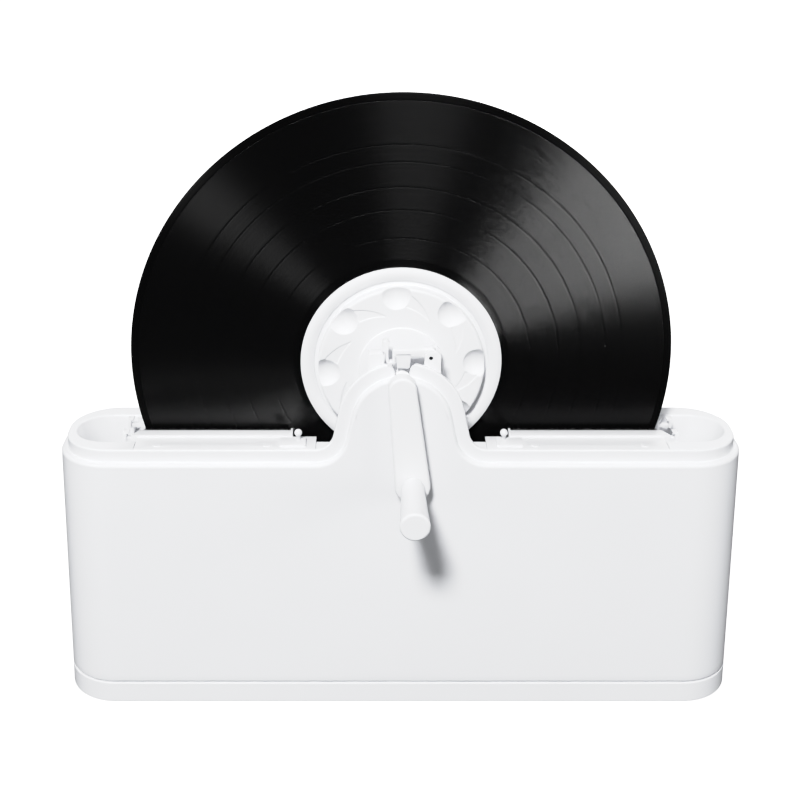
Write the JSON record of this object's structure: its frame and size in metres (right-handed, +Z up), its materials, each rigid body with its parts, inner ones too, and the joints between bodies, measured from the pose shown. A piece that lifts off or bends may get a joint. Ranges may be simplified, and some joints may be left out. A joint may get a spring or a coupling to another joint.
{
  "type": "record cleaning machine",
  "caption": "White hand-cranked record washing basin: a long trough with lift-out brushes, bell-shaped bearing humps with snap latches, and label clamps that hold a record upright.",
  "frame": {"origin": "on the table, under the middle of the record", "axes": "+Z up, -Y towards the crank, X along the basin"},
  "size_m": [0.394, 0.1256, 0.3528],
  "materials": {
    "shell_white": "smooth satin gloss",
    "latch_white": "satin",
    "bush_white": "satin slippery plastic",
    "clamp_white": "satin",
    "crank_white": "satin",
    "brush_white": "satin",
    "bristle_black": "fine matt pile",
    "seal_grey": "matt",
    "vinyl_black": "glossy, finely grooved",
    "steel": "bright brushed"
  },
  "bodies": {
    "basin": {"basin_tub": "shell_white", "base_plate": "shell_white", "base_screws": "steel", "front_latch_bracket": "latch_white", "rear_latch_bracket": "latch_white", "front_latch_pin": "steel", "rear_latch_pin": "steel"},
    "bushes": {"front_bush": "bush_white", "rear_bush": "bush_white"},
    "front_latch": {"front_latch": "latch_white"},
    "rear_latch": {"rear_latch": "latch_white"},
    "record_rotor": {"spindle": "steel", "rear_clamp": "clamp_white", "rear_seal": "seal_grey", "vinyl_record": "vinyl_black"},
    "front_gasket": {"front_seal": "seal_grey"},
    "front_rotor": {"front_clamp": "clamp_white", "drive_neck": "crank_white", "crank_arm": "crank_white", "knob_stud": "steel"},
    "knob": {"crank_knob": "crank_white"},
    "front_left_brush": {"front_left_holder": "brush_white", "front_left_bristles": "bristle_black", "front_left_lift_pin": "brush_white"},
    "front_right_brush": {"front_right_holder": "brush_white", "front_right_bristles": "bristle_black", "front_right_lift_pin": "brush_white"},
    "rear_left_brush": {"rear_left_holder": "brush_white", "rear_left_bristles": "bristle_black", "rear_left_lift_pin": "brush_white"},
    "rear_right_brush": {"rear_right_holder": "brush_white", "rear_right_bristles": "bristle_black", "rear_right_lift_pin": "brush_white"}
  },
  "joints": [
    {"name": "spindle_lift", "type": "slide", "parent": "basin", "child": "bushes", "axis": [0, 0, 1], "range_m": [0, 0.017]},
    {"name": "front_latch_hinge", "type": "hinge", "parent": "basin", "child": "front_latch", "pos_m": [0.0156, -0.0215, 0.2144], "axis": [0, 1, 0], "range_deg": [0, 110]},
    {"name": "rear_latch_hinge", "type": "hinge", "parent": "basin", "child": "rear_latch", "pos_m": [0.0156, 0.0215, 0.2144], "axis": [0, 1, 0], "range_deg": [0, 110]},
    {"name": "record_spin", "type": "hinge", "parent": "bushes", "child": "record_rotor", "pos_m": [0, 0, 0.202], "axis": [0, -1, 0], "continuous": true},
    {"name": "clamp_draw", "type": "slide", "parent": "record_rotor", "child": "front_gasket", "axis": [0, -1, 0], "range_m": [0, 0.005]},
    {"name": "clamp_screw", "type": "hinge", "parent": "front_gasket", "child": "front_rotor", "pos_m": [0, 0, 0.202], "axis": [0, -1, 0], "range_deg": [0, 720]},
    {"name": "knob_spin", "type": "hinge", "parent": "front_rotor", "child": "knob", "pos_m": [0.00596, -0.06, 0.14531], "axis": [0, -1, 0], "continuous": true},
    {"name": "front_left_brush_lift", "type": "slide", "parent": "basin", "child": "front_left_brush", "axis": [0, 0, 1], "range_m": [0, 0.075]},
    {"name": "front_right_brush_lift", "type": "slide", "parent": "basin", "child": "front_right_brush", "axis": [0, 0, 1], "range_m": [0, 0.075]},
    {"name": "rear_left_brush_lift", "type": "slide", "parent": "basin", "child": "rear_left_brush", "axis": [0, 0, 1], "range_m": [0, 0.075]},
    {"name": "rear_right_brush_lift", "type": "slide", "parent": "basin", "child": "rear_right_brush", "axis": [0, 0, 1], "range_m": [0, 0.075]}
  ],
  "couplings": [
    {"joint": "front_latch_hinge", "follows": "spindle_lift", "rad_per_m": 105},
    {"joint": "rear_latch_hinge", "follows": "spindle_lift", "rad_per_m": 105},
    {"joint": "clamp_draw", "follows": "clamp_screw", "m_per_rad": 0.000397}
  ]
}
